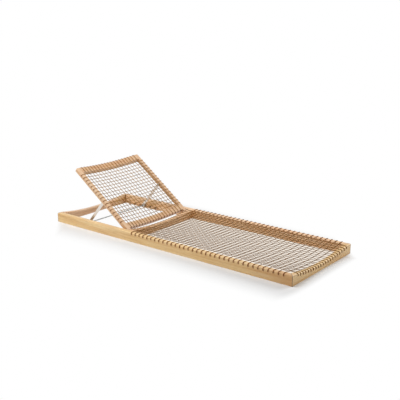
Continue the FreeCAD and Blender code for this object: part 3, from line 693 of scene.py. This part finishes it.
# The way that a cord goes into its hole
TAIL = 6.5 * MM
# A quarter bend has two points, each this share of its radius past where the bend begins
TURN = math.tan(math.radians(45 / 2))


def over_edge(face, outward, top, edge_round, drop):
    """Points from the hole up the outer face and over the rail's edge."""
    corner = (edge_round + STAND) * TURN
    return [
        (face - outward * TAIL, top - drop),
        (face + outward * STAND, top - drop),
        (face + outward * STAND, top - edge_round + corner),
        (face - outward * (edge_round - corner), top + STAND),
    ]


def rail_drop(half_chord, dip, across):
    """How far a dipped rail's top lies below its ends, at a distance from the middle."""
    radius = (half_chord ** 2 + dip ** 2) / (2 * dip)
    distance = min(abs(across), half_chord)
    return dip - radius + (radius ** 2 - distance ** 2) ** 0.5


def even(first, last, count):
    """Values in even steps from the first to the last."""
    return [first + (last - first) * n / (count - 1) for n in range(count)]


print("a crossing lifts a cord by", round(SWING / 2 / MM, 2), "mm")

# %% Points of a whole net
def net_paths(net):
    """Control points of the cords across and along a net, in the net's own frame."""
    start, end = (edge["inner"] for edge in net["ends"])
    half = net["inner"] + net["edge_round"] / 2

    def middle(x, y):
        """Height of the dished net, between the rails and their dips."""
        lengthwise = (2 * x - start - end) / (end - start)
        dip = net["ends"][0 if lengthwise < 0 else 1]["dip"]
        depth = net["sag"] + (dip - net["sag"]) * lengthwise ** 2
        return net["top"] + STAND - LAYER / 2 - depth * (1 - (y / half) ** 2)

    def weave(i, j):
        """Up and down by turns."""
        return SWING if (i + j) % 2 else -SWING

    across = []
    rail = (net["top"], net["edge_round"], net["drop"])
    for i, x in enumerate(net["cross_x"]):
        way = over_edge(-net["side"], -1, *rail) + [(-half, net["top"] + STAND)]
        way += [(y, middle(x, y) + weave(i, j)) for j, y in enumerate(net["long_y"])]
        way += [(half, net["top"] + STAND)] + over_edge(net["side"], 1, *rail)[::-1]
        across.append([Vector((x, y, z)) for y, z in way])
    along = []
    for j, y in enumerate(net["long_y"]):
        way = [(x, middle(x, y) - weave(i, j)) for i, x in enumerate(net["cross_x"])]
        for edge in net["ends"]:
            wood = net["top"] - rail_drop(net["inner"], edge["dip"], abs(y) + CORD / 2)
            wrap = over_edge(edge["face"], edge["outward"], wood, net["edge_round"], net["drop"])
            inner = edge["inner"] + edge["outward"] * net["edge_round"] / 2
            wrap.append((inner, wood + STAND))
            way = wrap + way if edge["outward"] < 0 else way + wrap[::-1]
        along.append([Vector((x, y, z)) for x, z in way])
    return across, along


print("a cord's middle stands", STAND / MM, "mm off the wood")

# %% Sizes of the two nets
# Rails: tops, outer faces, inner faces, rounded edges and dips; drop is from a top to its holes
SEAT = {
    "top": 67 * MM, "side": 354 * MM, "inner": 319 * MM, "edge_round": 8 * MM,
    "drop": 17 * MM, "sag": 14 * MM,
    "cross_x": even(FIRST_WRAP, LAST_WRAP, SEAT_CROSS_CORDS),
    "long_y": even(-295 * MM, 295 * MM, 21),
    "ends": (
        {"face": -313.95 * MM, "inner": -278.95 * MM, "outward": -1, "dip": 22 * MM},
        {"face": 998.05 * MM, "inner": 963.05 * MM, "outward": 1, "dip": 27 * MM},
    ),
}
BACK = {
    "top": 14 * MM, "side": 313 * MM, "inner": 284 * MM, "edge_round": 5 * MM,
    "drop": 13 * MM, "sag": 9 * MM,
    "cross_x": even(-534 * MM, -71 * MM, 17),
    "long_y": even(-264 * MM, 264 * MM, 19),
    "ends": (
        {"face": -603 * MM, "inner": -553 * MM, "outward": -1, "dip": 17 * MM},
        {"face": -7 * MM, "inner": -52 * MM, "outward": 1, "dip": 17 * MM},
    ),
}
HINGE = Vector((-341.45 * MM, 0, 53 * MM))
ON_BASE = Matrix.Identity(4)
ON_BACK = Matrix.Translation(HINGE) @ Matrix.Rotation(BACK_ANGLE, 4, "Y")

seat_across, seat_along = net_paths(SEAT)
back_across, back_along = net_paths(BACK)
print("cords:", [len(s) for s in (seat_across, seat_along, back_across, back_along)])

# %% [markdown]
# ## Strung cords
# A curve with a round bevel is already a tube, but a mesh keeps its UVs and its
# smooth shading in other programs. So the curves of one set are turned into one mesh,
# which takes the place of the plain square bars of the CAD model.

# %% String the nets
def cord_tubes(name, paths, place):
    """Round cords along paths, as one mesh, and the length of the first of them."""
    curve = bpy.data.curves.new(name + "_line", "CURVE")
    curve.dimensions = "3D"
    curve.bevel_depth = CORD / 2
    curve.bevel_resolution = 2
    curve.use_fill_caps = True
    for path in paths:
        spline = curve.splines.new("NURBS")
        spline.points.add(len(path) - 1)
        for point, at in zip(spline.points, path):
            point.co = (*(place @ at), 1.0)
        spline.order_u = 3
        spline.use_endpoint_u = True
        spline.resolution_u = 3
    line = bpy.data.objects.new(name + "_line", curve)
    scene.collection.objects.link(line)
    bpy.context.view_layer.update()
    depsgraph = bpy.context.evaluated_depsgraph_get()
    tubes = bpy.data.meshes.new_from_object(line.evaluated_get(depsgraph))
    length = curve.splines[0].calc_length()
    bpy.data.objects.remove(line)
    return tubes, length


def string_cords(name, paths, place, body):
    """Woven cords in place of the CAD node of that name."""
    tubes, length = cord_tubes(name, paths, place)
    tubes.name = name
    tubes.shade_smooth()
    tubes.materials.clear()
    tubes.materials.append(braided_cord(name, length, FADED_AND_PAINTED_LIGHT[body]))
    cords = bpy.data.objects.new("woven_" + name, tubes)
    scene.collection.objects.link(cords)
    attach(cords, body)
    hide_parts(name)
    print(name, "-", len(paths), "cords of about", round(length, 3), "m")
    print(name, "-", len(tubes.polygons), "faces")


string_cords("seat_cross_cords", seat_across, ON_BASE, "base")
string_cords("seat_long_cords", seat_along, ON_BASE, "base")
string_cords("back_cross_cords", back_across, ON_BACK, "backrest")
string_cords("back_long_cords", back_along, ON_BACK, "backrest")

# %% [markdown]
# ## Turned fittings
# Washers keep the moving rails apart, collars hold the rod in its arms, and small pan
# head screws fix the notched racks. All of them are turned parts, so each is drawn as
# half a section and spun round its axis, with the softened corners a lathe leaves.

# %% Spin a section
SPIN_STEPS = 40
SAME_POINT = 0.001 * MM
SHARP_CORNER = math.radians(35)
LATHE_EASE = 0.6 * MM


def spin_y(bm, section, centre):
    """Spin (radius, along) points of a closed or open section about a Y axis."""
    rings = []
    for step in range(SPIN_STEPS):
        angle = 2 * math.pi * step / SPIN_STEPS
        rings.append([
            bm.verts.new(centre + Vector((r * math.cos(angle), a, r * math.sin(angle))))
            for r, a in section
        ])
    for step, ring in enumerate(rings):
        following = rings[(step + 1) % SPIN_STEPS]
        for k in range(len(section) - 1):
            bm.faces.new((ring[k], ring[k + 1], following[k + 1], following[k]))


def turned_piece(name, places, section, place, body, material):
    """One piece made of the same section spun at several places."""
    bm = bmesh.new()
    for centre, side in places:
        spin_y(bm, [(r, a * side) for r, a in section], Vector(centre))
    bmesh.ops.remove_doubles(bm, verts=bm.verts, dist=SAME_POINT)
    bmesh.ops.recalc_face_normals(bm, faces=bm.faces)
    bm.transform(place)
    mesh = bpy.data.meshes.new(name)
    bm.to_mesh(mesh)
    bm.free()
    mesh.shade_smooth()
    mesh.set_sharp_from_angle(angle=SHARP_CORNER)
    mesh.materials.append(material)
    piece = bpy.data.objects.new(name, mesh)
    scene.collection.objects.link(piece)
    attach(piece, body)
    print(name, "-", len(places), "turned parts")


def ring_section(bore, radius, thickness):
    """Section of a washer with its outer corners eased."""
    half = thickness / 2
    ease = min(LATHE_EASE, thickness / 4)
    return [
        (bore, -half), (radius - ease, -half), (radius, ease - half),
        (radius, half - ease), (radius - ease, half), (bore, half), (bore, -half),
    ]


print("spin steps:", SPIN_STEPS)

# %% Washers and collars
SIDES = (1, -1)
HINGE_GAP_Y = 316 * MM
PROP_PIVOT = Vector((-289 * MM, 0, -4 * MM))
PROP_GAP_Y = 282.8 * MM
ROD = Vector((NOTCH_X, 0, 24 * MM))
ARM_Y = 279.1 * MM
COLLAR_FROM_ARM = 4.6 * MM

turned_piece(
    "hinge_washers", [((HINGE.x, s * HINGE_GAP_Y, HINGE.z), s) for s in SIDES],
    ring_section(bore=6.1 * MM, radius=11 * MM, thickness=5.4 * MM), ON_BASE, "base", bar_steel,
)
turned_piece(
    "prop_washers", [((PROP_PIVOT.x, s * PROP_GAP_Y, PROP_PIVOT.z), s) for s in SIDES],
    ring_section(bore=4.1 * MM, radius=9 * MM, thickness=2 * MM), ON_BACK, "backrest", bar_steel,
)
turned_piece(
    "rod_collars",
    [((ROD.x, s * (ARM_Y + d * COLLAR_FROM_ARM), ROD.z), s) for s in SIDES for d in SIDES],
    ring_section(bore=4.02 * MM, radius=7 * MM, thickness=4 * MM), ON_BASE, "prop", bar_steel,
)

# %% Rack screws
RACK_FACE_Y = 305 * MM
SCREW_HEIGHT = 8 * MM
# The screws sit midway between notches, counted in notches from the rod
SCREW_NOTCHES = (-2.5, -0.5, 1.5)
# Half a section of a pan head in millimetres, from the recess to the rim on the wood
PAN_HEAD = (
    (0.0, -1.0), (1.1, -1.0), (1.5, -2.1), (2.6, -2.0), (3.5, -1.4), (4.0, -0.5), (4.0, 0.0),
)

screw_places = [
    ((ROD.x + k * NOTCH_PITCH, s * RACK_FACE_Y, SCREW_HEIGHT), s)
    for s in SIDES for k in SCREW_NOTCHES
]
turned_piece(
    "rack_screws", screw_places,
    [(r * MM, a * MM) for r, a in PAN_HEAD], ON_BASE, "base", bar_steel,
)
